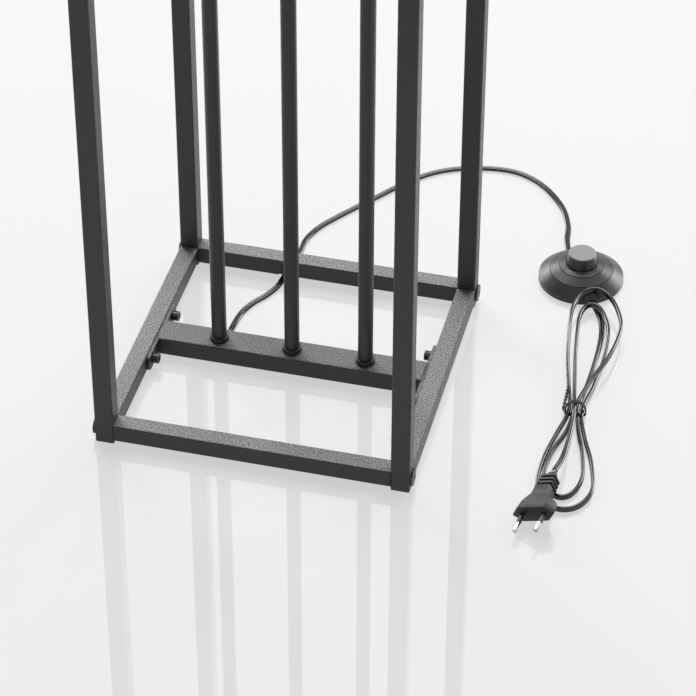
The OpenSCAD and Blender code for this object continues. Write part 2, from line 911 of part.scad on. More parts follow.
module bulb_cap(i) {
    color(zinc)
        translate([stem_x[i], 0, bar_top + stem_l[i] + cap_z])
            difference() {
                union() {
                    translate([0, 0, -cap_tip_h])
                        cylinder(d = cap_tip_d, h = cap_tip_h + cut);
                    cylinder(d1 = cap_tip_d + 4, d2 = cap_d - cap_thread, h = cap_cone);
                    translate([0, 0, cap_cone])
                        cylinder(d = cap_d - cap_thread, h = cap_h - cap_cone);
                    for (k = [0 : cap_ridges - 1])
                        translate([0, 0, cap_cone + (k + 0.5) * cap_pitch])
                            cap_ridge();
                }
                translate([0, 0, cap_h - cap_bore_h])
                    cylinder(r = neck_r + slip, h = cap_bore_h + cut);
            }
}

module cap_ridge() {
    cylinder(d1 = cap_d - cap_thread, d2 = cap_d, h = cap_pitch / 3);
    translate([0, 0, cap_pitch / 3])
        cylinder(d2 = cap_d - cap_thread, d1 = cap_d, h = cap_pitch / 3);
}

// A glass mount in each bulb with four glowing sticks between two hubs
module bulb_filaments() {
    color([1, 0.85, 0.5])
        for (i = [0 : 2])
            translate([stem_x[i], 0, bar_top + stem_l[i] + cap_z + cap_h - cap_bore_h]) {
                cylinder(r = mount_foot_r, h = mount_foot_h);
                cylinder(r = mount_r, h = stick_top + hub_t);
                for (z = [stick_low, stick_top])
                    translate([0, 0, z])
                        cylinder(r = hub_r, h = hub_t);
                for (a = [45 : 90 : 315])
                    rotate(a)
                        translate([stick_place, 0, stick_low + hub_t / 2])
                            cylinder(r = stick_r, h = stick_top - stick_low);
            }
}

/* Foot switch */

module at_switch() {
    translate([switch_x, switch_y, 0])
        rotate(switch_turn)
            children();
}

module at_switch_screws() {
    for (a = [90 : 120 : 330])
        rotate(a)
            translate([boss_place, 0, 0])
                children();
}

// The slots where the cord enters and leaves, cut from the base's stop outwards
module cord_entries(room) {
    for (side = [0, 180])
        rotate(side)
            translate([entry_stop, 0, entry_z])
                rotate([90, 0, 90])
                    linear_extrude(switch_d)
                        rounded_square([cord_w + 2 * room, cord_t + 2 * room], slot_r);
}

// The grooves in the base where the strips of the contacts lie
module contact_grooves() {
    l = entry_stop - stop_l - contact_place + slip;
    for (side = [0, 180])
        rotate(side)
            translate([contact_place - slip, -contact_w / 2 - slip, base_top - contact_t])
                cube([l, contact_w + 2 * slip, contact_t + cut]);
}

module foot_switch_base() {
    color(plastic)
        at_switch()
            difference() {
                union() {
                    translate([0, 0, pad_t])
                        cylinder(r = switch_d / 2 - switch_wall - slip, h = base_t);
                    for (side = [0, 180])
                        rotate(side)
                            translate([entry_stop - stop_l, -cord_w / 2 - 0.6, pad_t])
                                cube([stop_l, cord_w + 1.2, stop_h]);
                    translate([0, 0, base_top])
                        cylinder(r = base_pin_r, h = base_pin_top - base_top);
                }
                cord_entries(entry_play);
                contact_grooves();
                at_switch_screws() {
                    translate([0, 0, pad_t - cut])
                        cylinder(r = switch_screw_r + 2 * play, h = base_t + 2 * cut);
                    translate([0, 0, pad_t - cut])
                        cylinder(r = switch_screw_head_r + play, h = switch_screw_head_h + cut);
                }
            }
}

module foot_switch_cover() {
    r = switch_d / 2;
    w = switch_wall;
    color("#2b2b2d")
        at_switch()
            difference() {
                union() {
                    rotate_extrude()
                        polygon([
                            [r - rim_edge, pad_t], [r, pad_t + rim_edge], [r, rim_h],
                            [ring_r + groove_d, ring_z - groove_d], [ring_r, ring_z - groove_d],
                            [ring_r, ring_z],
                            [step_r + groove_d, step_z - groove_d], [step_r, step_z - groove_d],
                            [step_r, step_z],
                            [neck_ring_r, neck_ring_z], [neck_ring_r - neck_edge, switch_h],
                            [button_d / 2 + button_gap, switch_h],
                            [button_d / 2 + button_gap, collar_under],
                            [step_r - w, collar_under], [ring_r - w, ring_z - groove_d - w],
                            [r - w, rim_h - 0.6], [r - w, pad_t]
                        ]);
                    at_switch_screws()
                        translate([0, 0, base_top])
                            cylinder(r = boss_r, h = boss_top - base_top);
                }
                cord_entries(entry_play);
                at_switch_screws()
                    translate([0, 0, base_top - cut])
                        cylinder(r = switch_screw_r + play, h = switch_screw_l);
            }
}

// A hollow button that stands on its spring, kept in by a flange under the cover
module foot_switch_button() {
    r = button_d / 2;
    top_r = button_top_d / 2;
    under = button_z - button_top_t;
    flange_top = collar_under - 2 * play;
    color("#c9c9cb")
        at_switch()
            rotate_extrude()
                polygon([
                    [button_post_bore, bridge_z + bridge_t], [button_post_r, bridge_z + bridge_t],
                    [button_post_r, under], [top_r - button_wall, under],
                    [r - button_wall, flange_top - flange_t], [r + flange_w, flange_top - flange_t],
                    [r + flange_w, flange_top], [r, flange_top], [r, switch_h],
                    [top_r + 0.3, button_z - button_edge], [top_r + 0.3 - button_edge, button_z],
                    [0, button_z],
                    [0, under], [button_post_bore, under]
                ]);
}

// The brass ring at the foot of the button's post
module foot_switch_bridge() {
    color(brass)
        at_switch()
            translate([0, 0, bridge_z])
                difference() {
                    cylinder(r = bridge_r, h = bridge_t);
                    translate([0, 0, -cut])
                        cylinder(r = button_post_bore, h = bridge_t + 2 * cut);
                }
}

// Two contacts inside the spring that the bridge joins when the button is pressed
module foot_switch_contacts() {
    low = base_top - contact_t;
    top = bridge_z - button_travel - contact_gap;
    color(brass)
        at_switch()
            for (side = [0, 180])
                rotate(side)
                    translate([contact_place, -contact_w / 2, low]) {
                        cube([bridge_r - contact_place, contact_w, top - low]);
                        cube([entry_stop - stop_l - contact_place - slip, contact_w, contact_t]);
                    }
}

module foot_switch_spring() {
    rise = button_z - button_top_t - base_top - spring_wire - 4 * play;
    color(zinc)
        at_switch()
            ring_tube([
                for (k = [0 : spring_turns * spring_rings])
                    let (a = 360 * k / spring_rings,
                         z = base_top + spring_wire / 2 + 2 * play
                             + rise * k / (spring_turns * spring_rings))
                    [for (s = [0 : 5])
                        let (b = 60 * s, d = spring_d / 2 + spring_wire / 2 * cos(b))
                        [d * cos(a), d * sin(a), z + spring_wire / 2 * sin(b)]]
            ]);
}

module foot_switch_screws() {
    color(zinc)
        at_switch()
            at_switch_screws()
                translate([0, 0, pad_t])
                    difference() {
                        union() {
                            cylinder(r = switch_screw_head_r, h = switch_screw_head_h);
                            cylinder(r = switch_screw_r, h = switch_screw_l);
                        }
                        for (turn = [0, 90])
                            rotate(turn)
                                translate([-screw_slot.x / 2, -screw_slot.y / 2, -cut])
                                    cube([screw_slot.x, screw_slot.y, screw_slot.z + cut]);
                    }
}

module foot_switch_pads() {
    color(plastic)
        at_switch()
            for (a = [0 : 120 : 240])
                rotate(a)
                    translate([pad_place, 0, 0])
                        cylinder(r = pad_r, h = pad_t);
}

/* Cord */

module cord_lead() {
    path = concat([lead_exit, lead_exit + [0, cord_w, 0]], lead_points, [lead_entry, lead_end]);
    smooth = curve(path, 3);
    color(plastic)
        ring_tube([for (i = [0 : len(smooth) - 1])
            cord_ring(smooth[i], lead_way(smooth, i), 0, 8)]);
}

// Both end rings stand square to what they meet
function lead_way(p, i) =
    i == 0 ? [0, 1, 0]
    : i == len(p) - 1 ? -switch_way
    : path_way(p, i);

// Across a run of the hank, from one place to another, by an even bend or a round one
function run_u(from, to, f, round_share) = mix(from, to, mix(ease(f), sin(90 * f), round_share));

// The height along a run, which starts to rise at the share rise_from
function run_z(low, high, f, rise_from) =
    mix(low, high, ease(clamp01((f - rise_from) / (1 - rise_from))));

// Rings of one lobe: a run out from the waist, half an ellipse, and a run back to the waist.
// way is the end of the hank (1 or -1) and side the side of the run out (1 or -1).
// The tip stands to the side of the centre by lean.
// out and back hold [place across the waist, height, share of a round bend, where the rise starts]
function lobe(way, side, centre, lean, half_w, run, fold, fold_z, out, back) = concat(
    [for (k = [0 : run_rings - 1])
        let (f = k / run_rings)
        [run_u(out[0], centre + side * half_w, f, out[2]), way * run * f,
         run_z(out[1], fold_z, f, out[3])]],
    [for (k = [0 : fold_rings])
        let (a = 180 * k / fold_rings)
        [centre + side * half_w * cos(a) + lean * sin(a), way * (run + fold * sin(a)), fold_z]],
    [for (k = [run_rings - 1 : -1 : 1])
        let (f = k / run_rings)
        [run_u(back[0], centre - side * half_w, f, back[2]), way * run * f,
         run_z(back[1], fold_z, f, back[3])]]
);

function hank_world(p) = [
    hank_x + p.x * cos(hank_turn) - p.y * sin(hank_turn),
    hank_y + p.x * sin(hank_turn) + p.y * cos(hank_turn),
    p.z
];

// The hank's lobes in the order of the cord: small and large, first below and then above the waist
hank_lobes = concat(
    lobe(way = -1, side = 1, centre = -3.3, lean = 0, half_w = 14.7, run = 72, fold = 29,
         fold_z = floor_z,
         out = [lane_w / 2, waist_z, 0, 0], back = [-lane_w / 2, waist_z, -0.3, 0]),
    lobe(way = 1, side = -1, centre = 6, lean = -3, half_w = 12.6, run = 95, fold = 38,
         fold_z = 7.2,
         out = [-lane_w / 2, waist_z, 0.3, 0.5], back = [1.5 * lane_w, waist_z, 1, 0.5]),
    lobe(way = -1, side = 1, centre = -1.1, lean = 0, half_w = 21.3, run = 85, fold = 30,
         fold_z = floor_z + 0.4,
         out = [1.5 * lane_w, waist_z, 0, 0], back = [-1.5 * lane_w, waist_z, 0.6, 0]),
    lobe(way = 1, side = -1, centre = 7.6, lean = -3.4, half_w = 20.6, run = 98, fold = 49,
         fold_z = 12.4,
         out = [-1.5 * lane_w, waist_z, 0.5, 0.4], back = [0, top_waist_z, 0.4, 0])
);

// A point with the roll of the cord there
function rolled(p, roll) = [p.x, p.y, p.z, roll];

hank_path = concat(
    [rolled(switch_at - switch_way * entry_stop, 0),
     rolled(switch_at - switch_way * (entry_stop + cord_w), 0)],
    hank_start,
    [for (p = hank_lobes) rolled(hank_world(p), 90)],
    [rolled(hank_world([0, 0, top_waist_z]), 90)],
    hank_end,
    [rolled(plug_point([0, plug_l + cord_w, 0]), 180 + plug_roll),
     rolled(plug_point([0, plug_l, 0]), 180 + plug_roll)]
);

function hank_place(i) = [hank_path[i].x, hank_path[i].y, hank_path[i].z];

function hank_way(i) =
    let (last = len(hank_path) - 1, d = hank_place(min(last, i + 1)) - hank_place(max(0, i - 1)))
    i == 0 ? -switch_way
    : i == last ? -plug_axis
    : d / norm(d);

module cord_hank() {
    color(plastic)
        ring_tube([for (i = [0 : len(hank_path) - 1])
            cord_ring(hank_place(i), hank_way(i), hank_path[i][3], 6)]);
}

// Least gap of the hank to itself, measured between points along its middle:
// at each, the cord is taken as an upright prism of its width and height there
function prism(i, f) =
    let (
        p = mix(hank_place(i), hank_place(i + 1), f),
        lift = abs(sin(mix(hank_path[i][3], hank_path[i + 1][3], f)))
    )
    [p.x, p.y, p.z, mix(cord_w, cord_t, lift) / 2, mix(cord_t, cord_w, lift) / 2];
prisms = [for (i = [0 : len(hank_path) - 2], k = [0 : gap_steps - 1]) prism(i, k / gap_steps)];
hank_gap = min([
    for (i = [0 : len(prisms) - 1 - near_steps])
        let (a = prisms[i])
        min([
            for (j = [i + near_steps : len(prisms) - 1])
                let (
                    b = prisms[j],
                    plan = norm([a[0] - b[0], a[1] - b[1]]) - a[3] - b[3],
                    rise = abs(a[2] - b[2]) - a[4] - b[4]
                )
                norm([max(plan, 0), max(rise, 0)])
        ])
]);
echo(hank_gap = hank_gap);  // cord_hank

/* Twist tie */

// Round above the hank and nearly square below it
function tie_turn(k) =
    let (
        a = 180 + 360 * k / tie_rings,
        bend = sin(a) < 0 ? tie_square : 1,
        rise = sin(a) < 0 ? tie_middle - tie_low : tie_high - tie_middle
    )
    [tie_half_w * sign(cos(a)) * pow(abs(cos(a)), bend),
     tie_pitch * (k / tie_rings - tie_turns / 2),
     tie_middle + rise * sign(sin(a)) * pow(abs(sin(a)), bend)];

function twist_point(k, phase) =
    let (a = phase + 360 * k / twist_rings)
    mix(twist_from, twist_to, k / (twist_turns * twist_rings)) + twist_r * [cos(a), 0, sin(a)];

tie_path = concat(
    [for (k = [twist_turns * twist_rings : -1 : 0]) twist_point(k, 90)],
    tie_start,
    [for (k = [0 : tie_turns * tie_rings]) tie_turn(k)],
    tie_end,
    [for (k = [0 : twist_turns * twist_rings]) twist_point(k, -90)],
    tie_tail
);

module cord_tie() {
    path = [for (p = tie_path) hank_world(p)];
    color(plastic)
        ring_tube([for (i = [0 : len(path) - 1])
            round_ring(path[i], path_way(path, i), tie_wire / 2, 6)]);
}

/* Plug */

// A place in the plug's own axes, in the axes of the lamp
function plug_point(p) =
    let (
        a = [p.x * cos(plug_roll) + p.z * sin(plug_roll), p.y,
             -p.x * sin(plug_roll) + p.z * cos(plug_roll)],
        b = [a.x, a.y * cos(plug_tilt) - a.z * sin(plug_tilt),
             a.y * sin(plug_tilt) + a.z * cos(plug_tilt)]
    )
    plug_at + [b.x * cos(plug_turn) - b.y * sin(plug_turn),
               b.x * sin(plug_turn) + b.y * cos(plug_turn), b.z];
plug_axis = plug_point([0, 1, 0]) - plug_at;

module at_plug() {
    translate(plug_at)
        rotate([0, 0, plug_turn])
            rotate([plug_tilt, 0, 0])
                rotate([0, plug_roll, 0])
                    children();
}

// A flat slice of the plug across its own Y, from y on
module plug_slice(y, l) {
    translate([0, y, 0])
        rotate([-90, 0, 0])
            linear_extrude(l)
                children();
}

// The plug's six-sided face
module plug_outline() {
    polygon([
        [-plug_w / 2, 0], [-plug_flat / 2, plug_t / 2], [plug_flat / 2, plug_t / 2],
        [plug_w / 2, 0], [plug_flat / 2, -plug_t / 2], [-plug_flat / 2, -plug_t / 2]
    ]);
}

// Straight from the face, then narrowing to the shoulder
module plug_profile(face, shoulder) {
    polygon([
        [-face / 2, 0], [-face / 2, plug_straight], [-shoulder / 2, shoulder_y],
        [shoulder / 2, shoulder_y], [face / 2, plug_straight], [face / 2, 0]
    ]);
}

module plug_front() {
    intersection() {
        plug_slice(0, shoulder_y)
            plug_outline();
        translate([0, 0, -plug_t])
            linear_extrude(2 * plug_t)
                plug_profile(plug_w, shoulder_w);
        translate([-plug_w, 0, 0])
            rotate([0, 90, 0])
                linear_extrude(2 * plug_w)
                    plug_profile(plug_t, shoulder_h);
    }
}

module at_pins() {
    for (s = [-1, 1])
        translate([s * pin_pitch / 2, 0, 0])
            rotate([90, 0, s * atan((pin_tip_pitch - pin_pitch) / 2 / pin_l)])
                children();
}

module plug_body() {
    color(plastic)
        at_plug()
            difference() {
                union() {
                    plug_front();
                    plug_slice(shoulder_y, neck_y - shoulder_y)
                        rounded_square([neck_w, neck_h], plug_edge);
                    plug_slice(neck_y, plug_l - neck_y)
                        rounded_square([relief_core_w, relief_core_h], plug_edge);
                    for (k = [1 : ribs])
                        plug_slice(neck_y + k * rib_pitch - rib_l, rib_l)
                            rounded_square([rib_w, rib_h], plug_edge);
                }
                at_pins()
                    translate([0, 0, -pin_seat])
                        cylinder(d = pin_d + 2 * play, h = pin_seat + cut);
            }
}

module plug_sleeves() {
    color(plastic)
        at_plug()
            at_pins()
                difference() {
                    translate([0, 0, -pin_seat])
                        cylinder(d = pin_d, h = pin_seat + sleeve_l);
                    translate([0, 0, -pin_seat - cut])
                        cylinder(d = pin_core_d, h = pin_seat + sleeve_l + 2 * cut);
                }
}

module plug_pins() {
    color("silver")
        at_plug()
            at_pins() {
                translate([0, 0, -pin_seat])
                    cylinder(d = pin_core_d, h = pin_seat + sleeve_l + cut);
                translate([0, 0, sleeve_l])
                    cylinder(d = pin_d, h = pin_l - sleeve_l - pin_d / 4);
                translate([0, 0, pin_l - pin_d / 4])
                    cylinder(d1 = pin_d, d2 = pin_d / 2, h = pin_d / 4);
            }
}

post(-post_x, -post_y);  // post_front_left
post(post_x, -post_y);  // post_front_right
post(-post_x, post_y);  // post_back_left
post(post_x, post_y);  // post_back_right
side_rail_bottom(-post_x);  // side_rail_bottom_left
side_rail_bottom(post_x);  // side_rail_bottom_right
side_rail(-post_x, rail_z_high);  // side_rail_top_left
side_rail(post_x, rail_z_high);  // side_rail_top_right
cross_rail(-post_y, rail_z_low);  // front_rail_bottom
back_rail_bottom();
cross_rail(-post_y, rail_z_high);  // front_rail_top
cross_rail(post_y, rail_z_high);  // back_rail_top
rail_inserts();
rail_bolts();
post_plugs(false);  // post_plugs_bottom
post_plugs(true);  // post_plugs_top
crossbar();
crossbar_plate(-1);  // crossbar_plate_left
crossbar_plate(1);  // crossbar_plate_right
crossbar_screws();
crossbar_inserts();
crossbar_cover();
stem(0);  // stem_left
stem(1);  // stem_middle
stem(2);  // stem_right
stem_collars();
stem_nipples();
stem_nuts();
cord_grommet();
cord_clamp();
terminal_block();
wiring();
holder_cup(0);  // holder_cup_left
holder_cup(1);  // holder_cup_middle
holder_cup(2);  // holder_cup_right
holder_socket(0);  // holder_socket_left
holder_socket(1);  // holder_socket_middle
holder_socket(2);  // holder_socket_right
holder_contacts();
bulb_cap(0);  // bulb_cap_left
bulb_cap(1);  // bulb_cap_middle
bulb_cap(2);  // bulb_cap_right
bulb_glass(0);  // bulb_glass_left
bulb_glass(1);  // bulb_glass_middle
bulb_glass(2);  // bulb_glass_right
bulb_filaments();
foot_switch_base();
foot_switch_cover();
foot_switch_button();
foot_switch_bridge();
foot_switch_spring();
foot_switch_contacts();
foot_switch_screws();
foot_switch_pads();
cord_lead();
cord_hank();
cord_tie();
plug_body();
plug_sleeves();
plug_pins();
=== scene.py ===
import math

import bpy
from mathutils import Matrix, Vector


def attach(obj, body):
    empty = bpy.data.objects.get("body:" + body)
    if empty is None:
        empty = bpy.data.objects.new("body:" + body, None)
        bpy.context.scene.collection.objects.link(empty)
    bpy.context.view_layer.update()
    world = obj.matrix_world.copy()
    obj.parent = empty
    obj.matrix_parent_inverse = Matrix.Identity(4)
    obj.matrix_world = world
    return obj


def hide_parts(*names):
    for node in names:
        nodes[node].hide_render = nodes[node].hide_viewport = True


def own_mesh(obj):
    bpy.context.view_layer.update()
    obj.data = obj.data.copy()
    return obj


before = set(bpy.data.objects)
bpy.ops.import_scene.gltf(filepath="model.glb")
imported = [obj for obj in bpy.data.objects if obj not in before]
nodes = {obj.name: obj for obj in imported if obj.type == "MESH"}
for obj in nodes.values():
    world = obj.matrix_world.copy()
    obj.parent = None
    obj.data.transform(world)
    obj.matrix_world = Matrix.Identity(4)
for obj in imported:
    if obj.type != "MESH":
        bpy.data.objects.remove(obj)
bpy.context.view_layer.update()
MM = 0.001

# ---------------------------------------------------------------- sizes, in millimetres

# The flat twin cord: its section, and its two round cores
CORD_W = 5.2
CORD_T = 3.0
CORE_R = CORD_T / 2
CORE_X = CORD_W / 2 - CORE_R
CORE_STEPS = 11

# The foot switch: its place, the way in which the cord runs through it (degrees), and its entries
SWITCH_X = 202.7
SWITCH_Y = 168.5
SWITCH_TURN = 117
ENTRY_Z = 2.1
ENTRY_STOP = 31         # from the switch's axis to the end of each cord

# Its return spring: mean radius, wire, turns, and the heights of the wire's middle at both ends
SPRING_R = 6.5
SPRING_WIRE = 1.2
SPRING_TURNS = 6
SPRING_LOW = 3.3
SPRING_HIGH = 24.5

# The lead: where it leaves the crossbar, and the height of its middle on the floor
LEAD_EXIT = (-58, 14, 8)
LEAD_Z = 1.6
LEAD_STEPS = 8

# The hank: the middle and turn (degrees) of its waist, the pitch of the cord's runs in the waist,
# and the heights of the cord's middle on the floor, in the waist and on top of the waist
HANK_X = 230.5
HANK_Y = -4
HANK_TURN = 6
TIE_WIRE = 1.3
LANE_W = CORD_T + 0.45
FLOOR_Z = CORD_W / 2 + 0.1
WAIST_Z = CORD_W / 2 + TIE_WIRE + 0.4
TOP_WAIST_Z = WAIST_Z + CORD_W + 0.6
HANK_STEPS = 6
RUN_RINGS = 3           # points of a lobe's straight run and of its fold
FOLD_RINGS = 6

# The plug: the middle of its face, its turns (degrees), its length and its strain relief
PLUG_AT = (223.4, -140.3, 13)
PLUG_TURN = -8
PLUG_TILT = 4
PLUG_ROLL = -22
PLUG_L = 46
NECK_Y = 28             # from the plug's face to the strain relief
RIBS = 3
RIB_W = 13
RIB_H = 11.4
RIB_L = 2.4
RIB_PITCH = 4.2
RIB_TAPER = 0.3         # what each rib is smaller by than the one before it
SMOOTH_BELOW = 38       # degrees; sharper edges of the plug stay sharp

# The camera: place in metres, turns in degrees, focal length in pixels of the photograph's width
CAMERA_AT = (0.49583, -1.82847, 1.55002)
CAMERA_YAW = 13.827
CAMERA_PITCH = 38.944
CAMERA_ROLL = 0.208
FOCAL_PX = 3061.9
PHOTO_PX = 696
SENSOR_MM = 36


def v3(p):
    return Vector((p[0], p[1], p[2]))


def metres(p):
    return tuple(c * MM for c in p)


def mix(a, b, f):
    return a + (b - a) * f


def ease(f):
    return (1 - math.cos(math.pi * f)) / 2


def clamp01(f):
    return min(1, max(0, f))


# ---------------------------------------------------------------- camera

def add_camera():
    yaw, pitch, roll = (math.radians(a) for a in (CAMERA_YAW, CAMERA_PITCH, CAMERA_ROLL))
    flat = Vector((-math.sin(yaw), math.cos(yaw), 0))
    look = flat * math.cos(pitch) + Vector((0, 0, -math.sin(pitch)))
    right = Vector((math.cos(yaw), math.sin(yaw), 0))
    up = right.cross(look)
    right_rolled = right * math.cos(roll) + up * math.sin(roll)
    up_rolled = -right * math.sin(roll) + up * math.cos(roll)
    data = bpy.data.cameras.new("photo_camera")
    data.sensor_width = SENSOR_MM
    data.lens = FOCAL_PX / PHOTO_PX * SENSOR_MM
    data.clip_end = 50
    camera = bpy.data.objects.new("photo_camera", data)
    turn = Matrix((right_rolled, up_rolled, -look)).transposed()
    camera.matrix_world = Matrix.Translation(Vector(CAMERA_AT)) @ turn.to_4x4()
    bpy.context.scene.collection.objects.link(camera)
    bpy.context.scene.camera = camera


add_camera()

# ---------------------------------------------------------------- mesh helpers

def mesh_piece(name, points, faces):
    """A smooth-shaded piece whose points are in millimetres."""
    mesh = bpy.data.meshes.new(name)
    mesh.from_pydata([metres(p) for p in points], [], faces)
    mesh.update()
    mesh.shade_smooth()
    piece = bpy.data.objects.new(name, mesh)
    bpy.context.scene.collection.objects.link(piece)
    return piece


def tube_faces(n, last, base=0):
    """Faces of a closed tube through last + 1 rings of n points, whose first point is base."""
    faces = [tuple(base + i for i in range(n))]
    for k in range(last):
        for i in range(n):
            a, b = base + k * n + i, base + k * n + (i + 1) % n
            faces.append((a, a + n, b + n, b))
    faces.append(tuple(base + last * n + i for i in reversed(range(n))))
    return faces


def tube_piece(name, rings):
    points = [p for ring in rings for p in ring]
    return mesh_piece(name, points, tube_faces(len(rings[0]), len(rings) - 1))


def curve(points, steps):
    """A smooth curve through all the points, of any number of coordinates."""
    out = []
    last = len(points) - 1
    for i in range(last):
        p0, p1, p2, p3 = (points[max(0, min(last, j))] for j in (i - 1, i, i + 1, i + 2))
        for k in range(steps):
            f = k / steps
            out.append([
                0.5 * (2 * b + (c - a) * f + (2 * a - 5 * b + 4 * c - d) * f * f
                       + (3 * b - a - 3 * c + d) * f ** 3)
                for a, b, c, d in zip(p0, p1, p2, p3)
            ])
    return out + [list(points[-1])]


def path_way(path, i):
    return (v3(path[min(len(path) - 1, i + 1)]) - v3(path[max(0, i - 1)])).normalized()


def twin_profile():
    """Outline of the twin cord: two round cores that meet in a groove."""
    half = math.acos(-CORE_X / CORE_R)
    arc = [-half + 2 * half * k / (CORE_STEPS - 1) for k in range(CORE_STEPS)]
    right = [(CORE_X + CORE_R * math.cos(a), CORE_R * math.sin(a)) for a in arc]
    left = [(-x, -y) for x, y in right]
    return right[:-1] + left[:-1]


def cord_rings(path, rolls, first_way, last_way):
    """Rings of the cord's outline along the path, rolled about it by degrees."""
    profile = twin_profile()
    rings = []
    for i, place in enumerate(path):
        way = first_way if i == 0 else last_way if i == len(path) - 1 else path_way(path, i)
        side = way.cross(Vector((0, 0, 1))).normalized()
        up = side.cross(way)
        a = math.radians(rolls[i])
        wide = side * math.cos(a) + up * math.sin(a)
        thin = up * math.cos(a) - side * math.sin(a)
        rings.append([v3(place) + wide * x + thin * y for x, y in profile])
    return rings


# ---------------------------------------------------------------- cords

SWITCH_AT = Vector((SWITCH_X, SWITCH_Y, ENTRY_Z))
SWITCH_WAY = Vector((math.cos(math.radians(SWITCH_TURN)), math.sin(math.radians(SWITCH_TURN)), 0))
LEAD_POINTS = [
    (-58.5, 27, 5), (-59, 36, 2.4), (-58.5, 46, LEAD_Z), (-56.5, 58, LEAD_Z), (-51, 71, LEAD_Z),
    (-44, 82, LEAD_Z), (-38, 96, LEAD_Z), (-36, 110, LEAD_Z), (-34, 127, LEAD_Z),
    (-32, 146, LEAD_Z), (-31, 165, LEAD_Z), (-24, 185, LEAD_Z), (-9, 208, LEAD_Z),
    (9, 233, LEAD_Z), (28, 259, LEAD_Z), (49, 282, LEAD_Z), (73, 296, LEAD_Z),
    (102, 303, LEAD_Z), (126, 301, LEAD_Z), (149, 287, LEAD_Z), (169, 262, LEAD_Z),
    (179, 236, LEAD_Z), (182, 216, LEAD_Z + 0.2),
]


def lead_cord():
    end = SWITCH_AT + SWITCH_WAY * ENTRY_STOP
    start = v3(LEAD_EXIT)
    points = [start, start + Vector((0, CORD_W, 0))] + [v3(p) for p in LEAD_POINTS]
    points += [end + SWITCH_WAY * CORD_W, end]
    path = curve([tuple(p) for p in points], LEAD_STEPS)
    rings = cord_rings(path, [0] * len(path), Vector((0, 1, 0)), -SWITCH_WAY)
    return tube_piece("lead_cord", rings), path


def run_u(start, end, f, round_share):
    """Across a run: how far it has gone from start to end, straight at first or bent by a share."""
    return mix(start, end, mix(ease(f), math.sin(math.pi / 2 * f), round_share))


def run_z(low, high, f, rise_from):
    """Up a run, which rises after the share rise_from of its length."""
    return mix(low, high, ease(clamp01((f - rise_from) / (1 - rise_from))))


def lobe(way, side, centre, lean, half_w, run, fold, fold_z, out, back):
    """One lobe of the hank: a run out from the waist, half an ellipse, and a run back.

    The runs out and back say where they cross the waist (across, height), and their shares for
    run_u and run_z.
    """
    points = []
    for k in range(RUN_RINGS):
        f = k / RUN_RINGS
        points.append((run_u(out[0], centre + side * half_w, f, out[2]), way * run * f,
                       run_z(out[1], fold_z, f, out[3])))
    for k in range(FOLD_RINGS + 1):
        a = math.pi * k / FOLD_RINGS
        points.append((centre + side * half_w * math.cos(a) + lean * math.sin(a),
                       way * (run + fold * math.sin(a)), fold_z))
    for k in range(RUN_RINGS - 1, 0, -1):
        f = k / RUN_RINGS
        points.append((run_u(back[0], centre - side * half_w, f, back[2]), way * run * f,
                       run_z(back[1], fold_z, f, back[3])))
    return points


def hank_world(p):
    """From the waist's own frame (across, along, up) to the lamp's."""
    c, s = math.cos(math.radians(HANK_TURN)), math.sin(math.radians(HANK_TURN))
    return (HANK_X + p[0] * c - p[1] * s, HANK_Y + p[0] * s + p[1] * c, p[2])


PLUG_MATRIX = (
    Matrix.Translation(v3(PLUG_AT))
    @ Matrix.Rotation(math.radians(PLUG_TURN), 4, "Z")
    @ Matrix.Rotation(math.radians(PLUG_TILT), 4, "X")
    @ Matrix.Rotation(math.radians(PLUG_ROLL), 4, "Y")
)


def hank_cord():
    """The cord from the switch to the plug. Its points are (x, y, z, roll in degrees)."""
    lobes = (
        lobe(-1, 1, -3.3, 0, 14.7, 72, 29, FLOOR_Z,
             (LANE_W / 2, WAIST_Z, 0, 0), (-LANE_W / 2, WAIST_Z, -0.3, 0))
        + lobe(1, -1, 6, -3, 12.6, 95, 38, 7.2,
               (-LANE_W / 2, WAIST_Z, 0.3, 0.5), (1.5 * LANE_W, WAIST_Z, 1, 0.5))
        + lobe(-1, 1, -1.1, 0, 21.3, 85, 30, FLOOR_Z + 0.4,
               (1.5 * LANE_W, WAIST_Z, 0, 0), (-1.5 * LANE_W, WAIST_Z, 0.6, 0))
        + lobe(1, -1, 7.6, -3.4, 20.6, 98, 49, 12.4,
               (-1.5 * LANE_W, WAIST_Z, 0.5, 0.4), (0, TOP_WAIST_Z, 0.4, 0))
    )
    at_switch = SWITCH_AT - SWITCH_WAY * ENTRY_STOP
    out_of_switch = at_switch - SWITCH_WAY * CORD_W
    start = [(224.5, 126.5, 2, 0), (229, 117, 1.8, 0), (232, 105, 1.8, 5), (233.6, 92, 2, 25),
             (234.2, 77, 2.5, 55), (234.1, 58, 3, 80), (233.6, 38, 3.6, 90), (232.9, 18, 4.1, 90)]
    end = [(231.6, -20, 9.7, 95), (232.4, -38, 9.9, 105), (232.7, -56, 11, 125),
           (232.4, -73, 13, 150)]
    near_plug = PLUG_MATRIX @ Vector((0, PLUG_L + CORD_W, 0))
    at_plug = PLUG_MATRIX @ Vector((0, PLUG_L, 0))
    points = (
        [(*at_switch, 0), (*out_of_switch, 0)] + start
        + [(*hank_world(p), 90) for p in lobes]
        + [(*hank_world((0, 0, TOP_WAIST_Z)), 90)] + end
        + [(*near_plug, 180 + PLUG_ROLL), (*at_plug, 180 + PLUG_ROLL)]
    )
    smooth = curve(points, HANK_STEPS)
    path = [p[:3] for p in smooth]
    plug_way = (near_plug - at_plug).normalized()
    rings = cord_rings(path, [p[3] for p in smooth], -SWITCH_WAY, -plug_way)
    return tube_piece("hank_cord", rings), path


